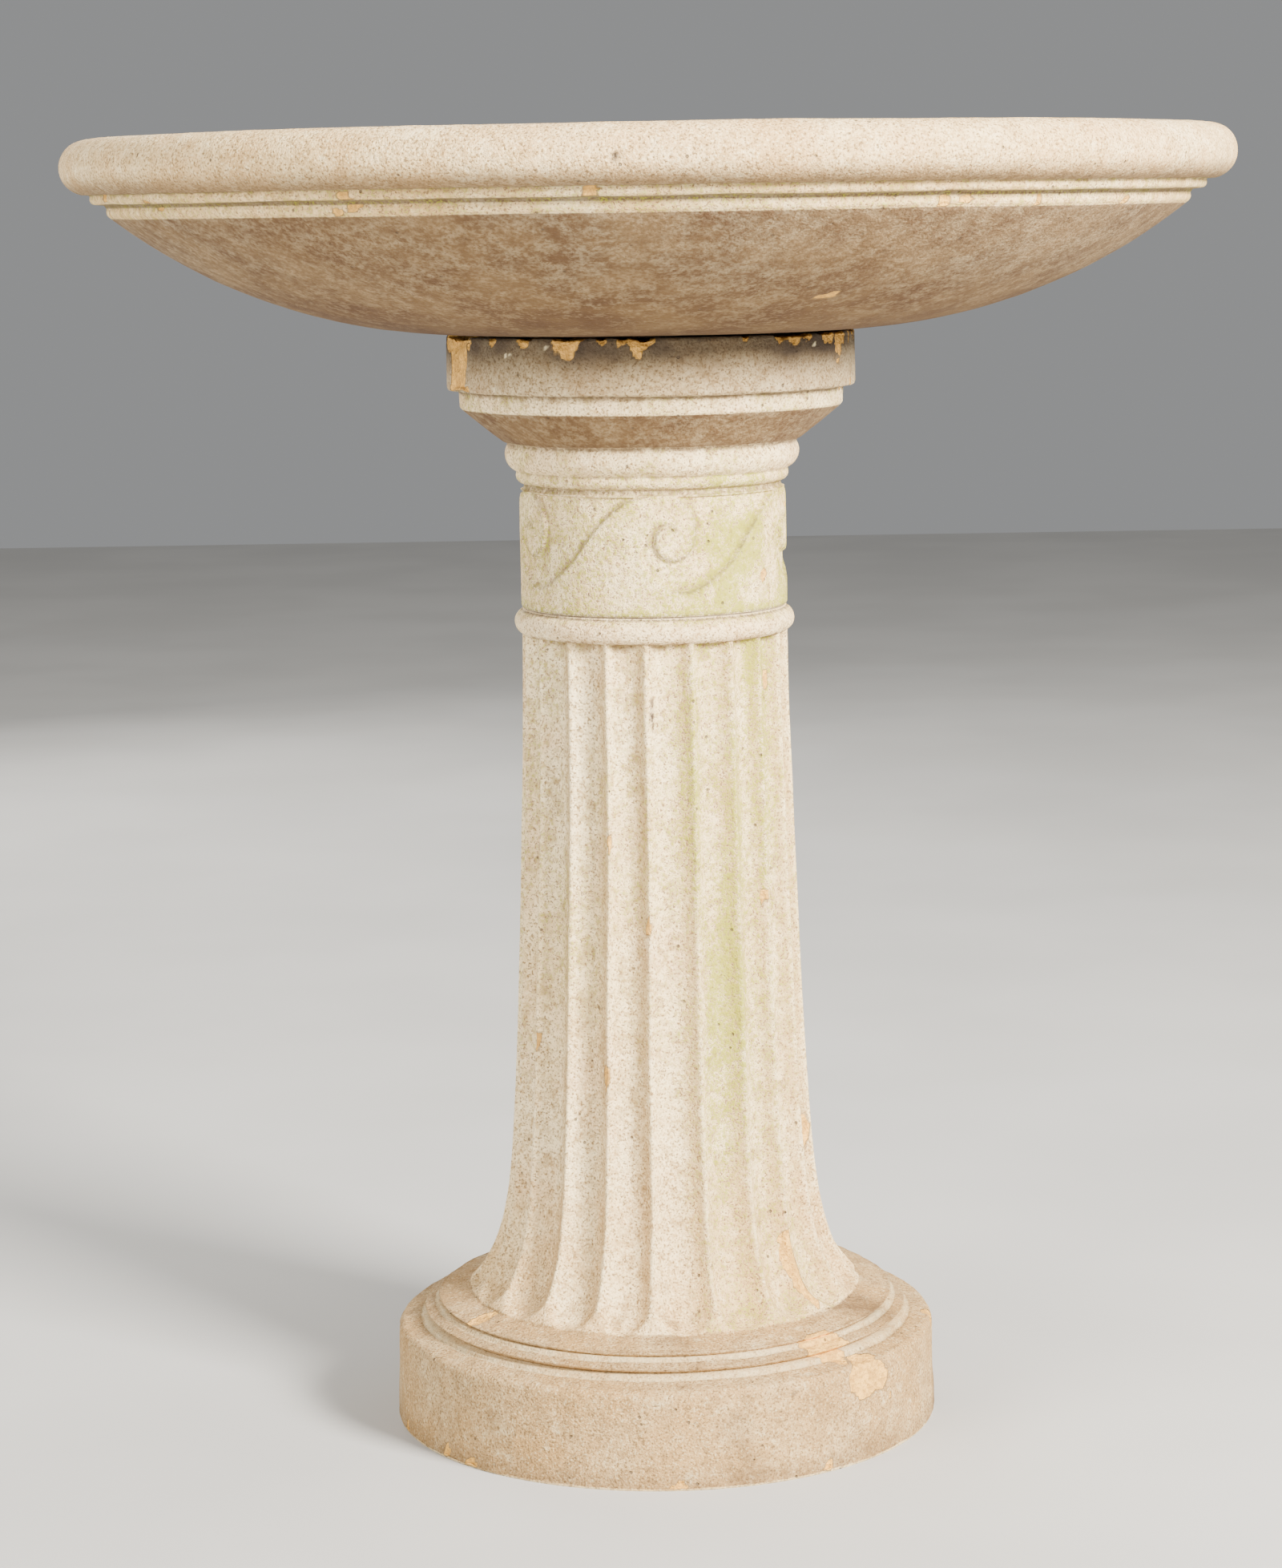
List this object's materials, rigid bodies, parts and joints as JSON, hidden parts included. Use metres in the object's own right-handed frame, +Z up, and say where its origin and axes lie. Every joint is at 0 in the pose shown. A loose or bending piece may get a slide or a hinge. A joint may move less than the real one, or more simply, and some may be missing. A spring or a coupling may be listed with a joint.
{
  "type": "bird bath",
  "caption": "Fired-clay bird bath: a wide shallow bowl with a rolled rim standing loose on a hollow fluted pedestal with a scroll frieze and a stepped round foot.",
  "frame": {"origin": "middle of the foot's flat underside", "axes": "+Z up along the pedestal and the bowl; -Y is the side with the main view"},
  "size_m": [0.6859, 0.686, 0.771],
  "materials": {
    "pedestal_clay": "matt unglazed",
    "bowl_clay": "matt unglazed",
    "mortar": "matt"
  },
  "bodies": {
    "pedestal": {"shaft": "pedestal_clay", "capital_bed": "mortar", "capital": "pedestal_clay"},
    "bowl": {"bowl": "bowl_clay"}
  },
  "joints": [
    {"name": "bowl_lift", "type": "slide", "parent": "pedestal", "child": "bowl", "axis": [0, 0, 1], "range_m": [0, 0.25]}
  ]
}
